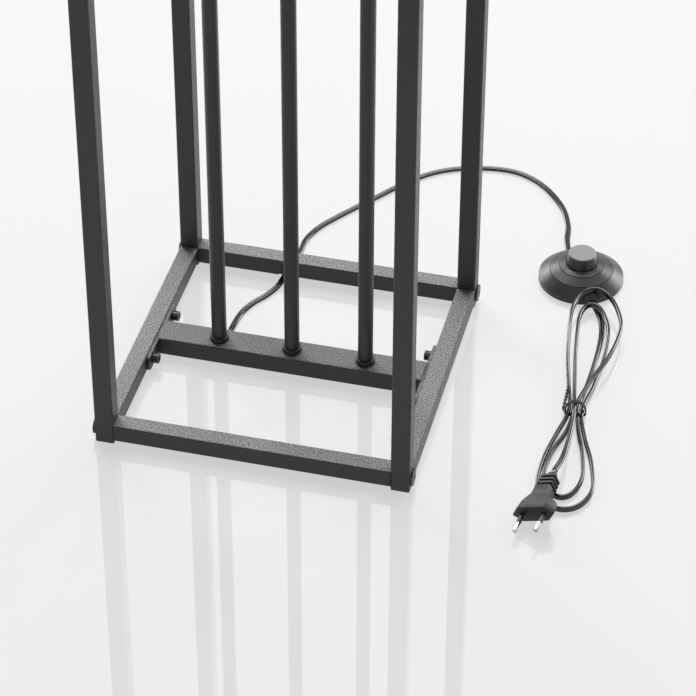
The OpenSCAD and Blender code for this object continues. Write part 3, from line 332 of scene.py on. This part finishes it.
def tie_points():
    """Two turns round the waist, and both ends twisted together on top of a run.

    Also gives the range of the points whose fins lie flat.
    """
    turns, turn_rings = 2, 24
    half_w = 1.5 * LANE_W + CORD_T / 2 + TIE_WIRE / 2 + 0.65
    low, middle = TIE_WIRE / 2 + 0.1, 5
    high = TOP_WAIST_Z + CORD_W / 2 + TIE_WIRE / 2 + 0.4
    pitch, square = TIE_WIRE + 0.5, 0.4
    twist_from, twist_to = Vector((-9.4, 3.6, 6.7)), Vector((-7.7, 24.5, 9.3))
    twist_r, twist_turns, twist_rings = TIE_WIRE / 2 + 0.05, 3, 12

    def turn(k):
        a = math.pi + 2 * math.pi * k / turn_rings
        across, up = math.cos(a), math.sin(a)
        bend = square if up < 0 else 1
        rise = middle - low if up < 0 else high - middle
        return Vector((half_w * math.copysign(abs(across) ** bend, across),
                       pitch * (k / turn_rings - turns / 2),
                       middle + rise * math.copysign(abs(up) ** bend, up)))

    def twist(k, phase):
        a = math.radians(phase) + 2 * math.pi * k / twist_rings
        return (twist_from.lerp(twist_to, k / (twist_turns * twist_rings))
                + twist_r * Vector((math.cos(a), 0, math.sin(a))))

    last = twist_turns * twist_rings
    points = [twist(k, 90) for k in range(last, -1, -1)]
    points += [Vector((-9.9, 1.4, 7.2)), Vector((-10, -0.8, 6.2)), Vector((-8.9, -2.3, 5.4))]
    flat = range(len(points), len(points) + turns * turn_rings + 1)
    points += [turn(k) for k in range(turns * turn_rings + 1)]
    points += [Vector((-8.1, 2.4, 3.9)), Vector((-9.3, 2.9, 3.9))]
    points += [twist(k, -90) for k in range(last + 1)]
    points += [Vector((-8.2, 28.5, 8.5)), Vector((-8.9, 33, 8.6)), Vector((-10.1, 38.4, 9))]
    return [hank_world(p) for p in points], flat


def tie_piece():
    """A wire in a thin coat with a fin on each side, folded close where it is twisted."""
    points, flat = tie_points()
    steps, arc_steps = 2, 8
    core, fin_t, flat_fin, folded_fin = TIE_WIRE / 2, 0.16, 0.95, 0.68
    path = curve(points, steps)
    spread = math.asin(fin_t / core)
    upper = [spread + (math.pi - 2 * spread) * k / arc_steps for k in range(arc_steps + 1)]
    half = [(core * math.cos(a), core * math.sin(a)) for a in upper]

    def profile(fin):
        outline = [(fin, fin_t)] + half + [(-fin, fin_t), (-fin, -fin_t)]
        return outline + [(-x, -y) for x, y in half] + [(fin, -fin_t)]

    along = Vector((math.sin(math.radians(-HANK_TURN)), math.cos(math.radians(HANK_TURN)), 0))
    rings, wide = [], along
    for i, place in enumerate(path):
        way = path_way(path, i)
        wide = wide * 0.7 + along * 0.3
        wide = (wide - way * wide.dot(way)).normalized()
        thin = way.cross(wide)
        outline = profile(flat_fin if i // steps in flat else folded_fin)
        rings.append([v3(place) + wide * x + thin * y for x, y in outline])
    return tube_piece("tie_strip", rings)


lead, lead_path = lead_cord()
hank, hank_path = hank_cord()
tie = tie_piece()

# ---------------------------------------------------------------- plug

def rounded_loop(corners, r):
    """A closed outline with each corner rounded by r, as points in plan."""
    out = []
    n, steps = len(corners), 4
    for i in range(n):
        a, b, c = Vector(corners[i - 1]), Vector(corners[i]), Vector(corners[(i + 1) % n])
        u, w = (a - b).normalized(), (c - b).normalized()
        half = u.angle(w) / 2
        cut = r / math.tan(half)
        centre = b + (u + w).normalized() * (r / math.sin(half))
        start, end = b + u * cut - centre, b + w * cut - centre
        turn = start.angle(end)
        for k in range(steps + 1):
            f = k / steps
            d = (start * math.sin((1 - f) * turn) + end * math.sin(f * turn)) / math.sin(turn)
            out.append(centre + d)
    return out


def plug_piece():
    """The moulded plug: six-sided face, shoulders, grip block and a ribbed strain relief.

    Each part is a list of sections, with their places behind the plug's face.
    """
    def six(w, flat, t, r):
        return rounded_loop([(w / 2, 0), (flat / 2, t / 2), (-flat / 2, t / 2),
                             (-w / 2, 0), (-flat / 2, -t / 2), (flat / 2, -t / 2)], r)

    def box(w, t, r=1.0):
        return rounded_loop([(w / 2, t / 2), (-w / 2, t / 2), (-w / 2, -t / 2), (w / 2, -t / 2)], r)

    body = [
        (0.0, six(34.1, 21.0, 12.7, 0.7)), (0.2, six(34.8, 21.4, 13.3, 0.7)),
        (0.6, six(35.3, 21.6, 13.7, 0.7)), (6.0, six(35.3, 21.6, 13.7, 0.8)),
        (8.5, six(34.8, 20.6, 13.7, 0.9)), (11.0, six(33.0, 18.6, 13.5, 1.1)),
        (13.5, six(29.5, 16.2, 13.1, 1.2)), (15.5, six(24.6, 14.2, 12.7, 1.2)),
        (17.0, six(19.0, 13.0, 12.4, 1.0)), (17.8, six(15.2, 12.4, 12.2, 0.7)),
        (18.6, six(13.7, 12.3, 12.2, 0.6)), (27.5, six(13.5, 12.1, 12.2, 0.6)),
        (28.0, six(12.8, 11.4, 11.5, 0.6)),
    ]
    relief = [(27.6, box(8.4, 6.2)), (43.0, box(7.4, 5.2)), (46.0, box(6.4, 4.3))]
    parts = [body, relief]
    for k in range(1, RIBS + 1):
        y = NECK_Y + k * RIB_PITCH - RIB_L
        w, t = RIB_W - RIB_TAPER * (k - 1), RIB_H - RIB_TAPER * (k - 1)
        parts.append([
            (y, box(w - 0.7, t - 0.7)), (y + 0.12, box(w - 0.2, t - 0.2)), (y + 0.35, box(w, t)),
            (y + RIB_L - 0.35, box(w, t)), (y + RIB_L - 0.12, box(w - 0.2, t - 0.2)),
            (y + RIB_L, box(w - 0.7, t - 0.7)),
        ])
    points, faces = [], []
    for loops in parts:
        faces += tube_faces(len(loops[0][1]), len(loops) - 1, len(points))
        for y, loop in loops:
            points += [tuple(PLUG_MATRIX @ Vector((p.x, y, p.y))) for p in loop]
    piece = mesh_piece("plug_moulding", points, faces)
    piece.data.set_sharp_from_angle(angle=math.radians(SMOOTH_BELOW))
    return piece


plug = plug_piece()

# ---------------------------------------------------------------- return spring of the foot switch

def spring_piece():
    turn_rings, sides = 24, 10
    last = SPRING_TURNS * turn_rings
    rings = []
    for k in range(last + 1):
        a = 2 * math.pi * k / turn_rings
        z = mix(SPRING_LOW, SPRING_HIGH, k / last)
        ring = []
        for i in range(sides):
            b = 2 * math.pi * i / sides
            r = SPRING_R + SPRING_WIRE / 2 * math.cos(b)
            ring.append((SWITCH_X + r * math.cos(a), SWITCH_Y + r * math.sin(a),
                         z + SPRING_WIRE / 2 * math.sin(b)))
        rings.append(ring)
    return tube_piece("switch_coil", rings)


coil = spring_piece()

# ---------------------------------------------------------------- materials

class Shader:
    """A node material whose detail is placed by the object's own coordinates, in metres."""

    def __init__(self, name):
        self.material = bpy.data.materials.new(name)
        self.material.use_nodes = True
        self.tree = self.material.node_tree
        self.bsdf = self.tree.nodes["Principled BSDF"]
        self.place = self.add("ShaderNodeTexCoord").outputs["Object"]

    def add(self, kind, **values):
        node = self.tree.nodes.new(kind)
        for key, value in values.items():
            setattr(node, key, value)
        return node

    def link(self, a, b):
        self.tree.links.new(a, b)

    def set(self, **values):
        for key, value in values.items():
            self.bsdf.inputs[key.replace("_", " ")].default_value = value

    def noise(self, scale, detail=3, rough=0.55, stretch=None, seed=0.0):
        node = self.add("ShaderNodeTexNoise")
        node.inputs["Scale"].default_value = scale
        node.inputs["Detail"].default_value = detail
        node.inputs["Roughness"].default_value = rough
        mapping = self.add("ShaderNodeMapping")
        mapping.inputs["Location"].default_value = (seed, seed * 0.7, seed * 0.3)
        if stretch:
            mapping.inputs["Scale"].default_value = stretch
        self.link(self.place, mapping.inputs["Vector"])
        self.link(mapping.outputs["Vector"], node.inputs["Vector"])
        return node.outputs["Fac"]

    def ramp(self, fac, stops):
        node = self.add("ShaderNodeValToRGB")
        elements = node.color_ramp.elements
        while len(elements) > 1:
            elements.remove(elements[-1])
        elements[0].position, elements[0].color = stops[0][0], (*stops[0][1], 1)
        for position, colour in stops[1:]:
            elements.new(position).color = (*colour, 1)
        self.link(fac, node.inputs["Fac"])
        return node.outputs["Color"]

    def spread(self, fac, low, high, to_low, to_high):
        node = self.add("ShaderNodeMapRange")
        ends = {"From Min": low, "From Max": high, "To Min": to_low, "To Max": to_high}
        for name, value in ends.items():
            node.inputs[name].default_value = value
        self.link(fac, node.inputs["Value"])
        return node.outputs["Result"]

    def blend(self, fac, a, b):
        node = self.add("ShaderNodeMix", data_type="RGBA")
        self.link(fac, node.inputs["Factor"])
        self.link(a, node.inputs["A"])
        if isinstance(b, tuple):
            node.inputs["B"].default_value = (*b, 1)
        else:
            self.link(b, node.inputs["B"])
        return node.outputs["Result"]

    def bump(self, *layers):
        """Each layer is (height, strength, distance in metres)."""
        normal = None
        for height, strength, distance in layers:
            node = self.add("ShaderNodeBump")
            node.inputs["Strength"].default_value = strength
            node.inputs["Distance"].default_value = distance
            self.link(height, node.inputs["Height"])
            if normal is not None:
                self.link(normal, node.inputs["Normal"])
            normal = node.outputs["Normal"]
        self.link(normal, self.bsdf.inputs["Normal"])

    def upward(self):
        """1 where the surface faces up, 0 elsewhere."""
        split = self.add("ShaderNodeSeparateXYZ")
        self.link(self.add("ShaderNodeNewGeometry").outputs["Normal"], split.inputs["Vector"])
        return self.spread(split.outputs["Z"], 0.75, 0.97, 0.0, 1.0)

    def colour(self, output):
        self.link(output, self.bsdf.inputs["Base Color"])

    def roughness(self, output):
        self.link(output, self.bsdf.inputs["Roughness"])


def shades(colour, *factors):
    return [tuple(min(1, c * f) for c in colour) for f in factors]


def powder_coat(name, colour, rough, grain, depth, painted_top_sheen=0.0):
    """A grained coat, lighter where it faces up: painted sheen, in place of light on the tops."""
    s = Shader(name)
    fine = s.noise(1500, 2, 0.6)
    coarse = s.noise(820, 2, 0.55, seed=3.1)
    dark, mid, light = shades(colour, 1 - grain, 1.0, 1 + 1.6 * grain)
    speckled = s.ramp(fine, [(0.30, dark), (0.52, mid), (0.72, light)])
    # Painted sheen: upward faces get a lighter speckled colour that stands in for the light's sheen
    # on the tops
    if painted_top_sheen:
        sheen_speckle = s.noise(940, 2, 0.6, seed=1.3)
        # The low, middle and high levels of the painted sheen
        thin, mean, bright_sheen = ((share * painted_top_sheen,) * 3 for share in (0.3, 1, 2.4))
        painted_sheen_colour = s.ramp(sheen_speckle, [(0.40, thin), (0.5, mean), (0.60, bright_sheen)])
        s.colour(s.blend(s.upward(), speckled, painted_sheen_colour))
    else:
        cloud = s.noise(9, 3, 0.5, seed=7.7)
        s.colour(s.blend(s.spread(cloud, 0.3, 0.7, 0.0, 0.35), speckled, shades(colour, 1.22)[0]))
    s.roughness(s.spread(coarse, 0.3, 0.7, rough - 0.06, rough + 0.08))
    s.bump((coarse, 0.9 * depth, 0.0005), (fine, 0.6 * depth, 0.0002))
    s.set(Specular_IOR_Level=0.5)
    return s.material


def moulded(name, colour, rough, depth=1.0, scale=2600, gloss=0.5):
    s = Shader(name)
    fine = s.noise(scale, 2, 0.6)
    soft = s.noise(60, 3, 0.5, seed=2.3)
    low, mid, high = shades(colour, 0.86, 1.0, 1.22)
    speckled = s.ramp(fine, [(0.3, low), (0.5, mid), (0.75, high)])
    s.colour(s.blend(s.spread(soft, 0.35, 0.65, 0.1, 0.5), speckled, mid))
    s.roughness(s.spread(soft, 0.3, 0.7, rough - 0.05, rough + 0.06))
    s.bump((fine, 0.35 * depth, 0.00012), (soft, 0.12 * depth, 0.0004))
    s.set(Specular_IOR_Level=gloss)
    return s.material


def metal(name, colour, rough, brushed=(1, 1, 1)):
    s = Shader(name)
    lines = s.noise(900, 3, 0.6, stretch=brushed)
    cloud = s.noise(140, 3, 0.5, seed=4.4)
    low, mid, high = shades(colour, 0.8, 1.0, 1.08)
    s.colour(s.ramp(cloud, [(0.3, low), (0.5, mid), (0.7, high)]))
    s.roughness(s.spread(lines, 0.3, 0.7, rough - 0.06, rough + 0.1))
    s.bump((lines, 0.15, 0.0001))
    s.set(Metallic=1.0)
    return s.material


def button_material():
    """A pale top with a darker side below its rounded edge."""
    s = Shader("button_grained")
    fine = s.noise(2400, 2, 0.6)
    split = s.add("ShaderNodeSeparateXYZ")
    s.link(s.place, split.inputs["Vector"])
    top = s.spread(split.outputs["Z"], 0.0272, 0.0279, 0.0, 1.0)
    side = s.ramp(fine, [(0.3, (0.012, 0.012, 0.0125)), (0.7, (0.022, 0.022, 0.023))])
    face = s.ramp(fine, [(0.3, (0.185, 0.185, 0.19)), (0.7, (0.245, 0.245, 0.25))])
    s.colour(s.blend(top, side, face))
    s.roughness(s.spread(fine, 0.3, 0.7, 0.32, 0.44))
    s.bump((fine, 0.25, 0.0001))
    return s.material


def glass_material():
    s = Shader("bulb_glass_tinted")
    wave = s.noise(45, 2, 0.5)
    s.bump((wave, 0.08, 0.0006))
    s.colour(s.ramp(wave, [(0.3, (1.0, 0.90, 0.74)), (0.7, (1.0, 0.93, 0.80))]))
    s.set(Roughness=0.02, IOR=1.45, Transmission_Weight=1.0)
    return s.material


def filament_material():
    s = Shader("filament_coated")
    grain = s.noise(1800, 2, 0.5)
    s.colour(s.ramp(grain, [(0.3, (0.85, 0.58, 0.16)), (0.7, (0.95, 0.72, 0.28))]))
    s.roughness(s.spread(grain, 0.3, 0.7, 0.35, 0.55))
    s.bump((grain, 0.3, 0.0001))
    return s.material


def cord_material():
    s = Shader("cord_sheath_soft")
    fine = s.noise(1900, 2, 0.6)
    long = s.noise(120, 3, 0.5, seed=5.0)
    s.colour(s.ramp(long, [(0.3, (0.004, 0.004, 0.0042)), (0.7, (0.008, 0.008, 0.0084))]))
    s.roughness(s.spread(long, 0.3, 0.7, 0.11, 0.17))
    s.bump((fine, 0.2, 0.00008), (long, 0.15, 0.0003))
    s.set(Specular_IOR_Level=0.55)
    return s.material


# The last number of the frame and crossbar coats is the strength of their painted sheen on upward
# faces
COAT = powder_coat("frame_powder_coat", (0.0165, 0.0165, 0.0172), 0.48, 0.35, 1.0, 0.125)
BAR_COAT = powder_coat("crossbar_powder_coat", (0.011, 0.011, 0.0115), 0.48, 0.35, 1.0, 0.075)
SATIN = powder_coat("stem_satin_coat", (0.014, 0.014, 0.0146), 0.44, 0.15, 0.3)
SCREW = metal("screw_black_oxide", (0.05, 0.05, 0.052), 0.38)
ZINC = metal("zinc_plate", (0.52, 0.53, 0.54), 0.34)
PLASTIC = moulded("black_moulding", (0.022, 0.022, 0.023), 0.42)
COVER = moulded("switch_moulding", (0.010, 0.010, 0.0105), 0.34, 0.8, gloss=0.44)
RUBBER = moulded("plug_soft_moulding", (0.011, 0.011, 0.0115), 0.47, 3.5, 1000, 0.36)
PAD = moulded("pad_rubber_matt", (0.028, 0.028, 0.028), 0.75, 1.4, 1200)
SHEATH = cord_material()
TIE = moulded("tie_coating", (0.012, 0.012, 0.0125), 0.38, 0.5)
BRASS = metal("brass_plain", (0.62, 0.46, 0.2), 0.28)
CAP = metal("cap_sheet", (0.72, 0.72, 0.72), 0.24)
PIN = metal("pin_nickel", (0.44, 0.438, 0.43), 0.22, (1, 0.2, 1))
GLASS = glass_material()
FILAMENT = filament_material()
BUTTON = button_material()

NODE_MATERIALS = {
    "post": COAT, "side_rail": COAT, "front_rail": COAT, "back_rail": COAT,
    "rail_inserts": ZINC, "rail_bolts": SCREW, "post_plugs": PLASTIC,
    "crossbar": BAR_COAT, "crossbar_screws": SCREW, "crossbar_inserts": ZINC,
    "stem": SATIN, "stem_collars": SATIN, "stem_nipples": ZINC, "stem_nuts": ZINC,
    "cord_grommet": PLASTIC, "cord_clamp": PLASTIC, "terminal_block": PLASTIC, "wiring": SHEATH,
    "holder_cup": SATIN, "holder_socket": PLASTIC, "holder_contacts": BRASS,
    "bulb_cap": CAP, "bulb_glass": GLASS, "bulb_filaments": FILAMENT,
    "foot_switch_base": PLASTIC, "foot_switch_cover": COVER, "foot_switch_button": BUTTON,
    "foot_switch_bridge": BRASS, "foot_switch_spring": ZINC, "foot_switch_contacts": BRASS,
    "foot_switch_screws": ZINC, "foot_switch_pads": PAD, "cord_": SHEATH,
    "plug_body": RUBBER, "plug_sleeves": PLASTIC, "plug_pins": PIN,
}


def dress(piece, material):
    if not piece.material_slots:
        piece.data.materials.append(material)
    for slot in piece.material_slots:
        slot.material = material


for name, node in nodes.items():
    best = max((key for key in NODE_MATERIALS if name.startswith(key)), key=len)
    dress(node, NODE_MATERIALS[best])

dress(lead, SHEATH)
dress(hank, SHEATH)
dress(tie, TIE)
dress(plug, RUBBER)
dress(coil, ZINC)

# ---------------------------------------------------------------- riding, and hiding the nodes they replace

for piece in (lead, hank, tie, plug, coil):
    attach(piece, "lamp")
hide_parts("cord_lead")
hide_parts("cord_hank")
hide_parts("cord_tie")
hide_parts("plug_body")
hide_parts("foot_switch_spring")
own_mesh(coil)

# ---------------------------------------------------------------- floor and light

def seen_rays(tree):
    """1 for a ray that shows the floor or the world, in the picture or in a reflection."""
    rays = tree.nodes.new("ShaderNodeLightPath")
    total = rays.outputs["Is Camera Ray"]
    for kind in ("Is Glossy Ray", "Is Transmission Ray"):
        either = tree.nodes.new("ShaderNodeMath")
        either.operation = "MAXIMUM"
        tree.links.new(total, either.inputs[0])
        tree.links.new(rays.outputs[kind], either.inputs[1])
        total = either.outputs[0]
    return total


def floor_material():
    """A pale gloss floor: it mirrors the lamp, and its own pale colour keeps the shadow faint."""
    s = Shader("floor_pale_gloss")
    cloud = s.noise(3, 2, 0.5)
    s.colour(s.ramp(cloud, [(0.3, (0.178, 0.179, 0.180)), (0.7, (0.184, 0.184, 0.184))]))
    s.set(Roughness=0.02, IOR=2.1, Emission_Color=(1, 1, 1, 1), Emission_Strength=0.575)
    plain = s.add("ShaderNodeBsdfDiffuse")
    plain.inputs["Color"].default_value = (0.885, 0.887, 0.89, 1)
    mixed = s.add("ShaderNodeMixShader")
    s.link(seen_rays(s.tree), mixed.inputs["Fac"])
    s.link(plain.outputs[0], mixed.inputs[1])
    s.link(s.bsdf.outputs[0], mixed.inputs[2])
    s.link(mixed.outputs[0], s.tree.nodes["Material Output"].inputs["Surface"])
    return s.material


def add_floor():
    """Large enough to meet the horizon from any side."""
    half = 40
    mesh = bpy.data.meshes.new("floor")
    mesh.from_pydata([(-half, -half, 0), (half, -half, 0), (half, half, 0), (-half, half, 0)], [],
                     [(0, 1, 2, 3)])
    floor = bpy.data.objects.new("floor", mesh)
    bpy.context.scene.collection.objects.link(floor)
    mesh.materials.append(floor_material())


def add_softbox(name, place, aim, size, watts, mirrored=True):
    """Place, aim and size are in metres."""
    data = bpy.data.lights.new(name, "AREA")
    data.shape = "RECTANGLE"
    data.size, data.size_y = size
    data.energy = watts
    lamp = bpy.data.objects.new(name, data)
    lamp.location = place
    lamp.visible_glossy = mirrored
    lamp.rotation_euler = (Vector(aim) - Vector(place)).to_track_quat("-Z", "Y").to_euler()
    bpy.context.scene.collection.objects.link(lamp)


def add_world():
    """A pale backdrop where it is seen, and only a faint light elsewhere."""
    world = bpy.data.worlds.new("studio")
    bpy.context.scene.world = world
    world.use_nodes = True
    tree = world.node_tree
    tree.nodes.clear()
    out = tree.nodes.new("ShaderNodeOutputWorld")
    seen = tree.nodes.new("ShaderNodeBackground")
    seen.inputs["Color"].default_value = (0.9, 0.9, 0.9, 1)
    light = tree.nodes.new("ShaderNodeBackground")
    light.inputs["Color"].default_value = (1, 1, 1, 1)
    light.inputs["Strength"].default_value = 0.14
    mixed = tree.nodes.new("ShaderNodeMixShader")
    tree.links.new(seen_rays(tree), mixed.inputs["Fac"])
    tree.links.new(light.outputs[0], mixed.inputs[1])
    tree.links.new(seen.outputs[0], mixed.inputs[2])
    tree.links.new(mixed.outputs[0], out.inputs["Surface"])


add_floor()
add_world()
add_softbox("softbox_back", (-0.71, 2.87, 5.22), (0.05, 0, 0), (4.4, 2.1), 305)
add_softbox("strip_right", (1.91, 2.27, 1.20), (0.2, 0, 0.02), (1.1, 1.6), 60)
add_softbox("strip_left", (-2.10, 2.10, 1.20), (0.2, 0, 0.02), (1.1, 1.6), 60)
add_softbox("softbox_front", (1.6, -2.2, 2.4), (0.05, 0, 0.4), (1.8, 1.8), 8, False)

scene = bpy.context.scene
scene.view_settings.view_transform = "Standard"
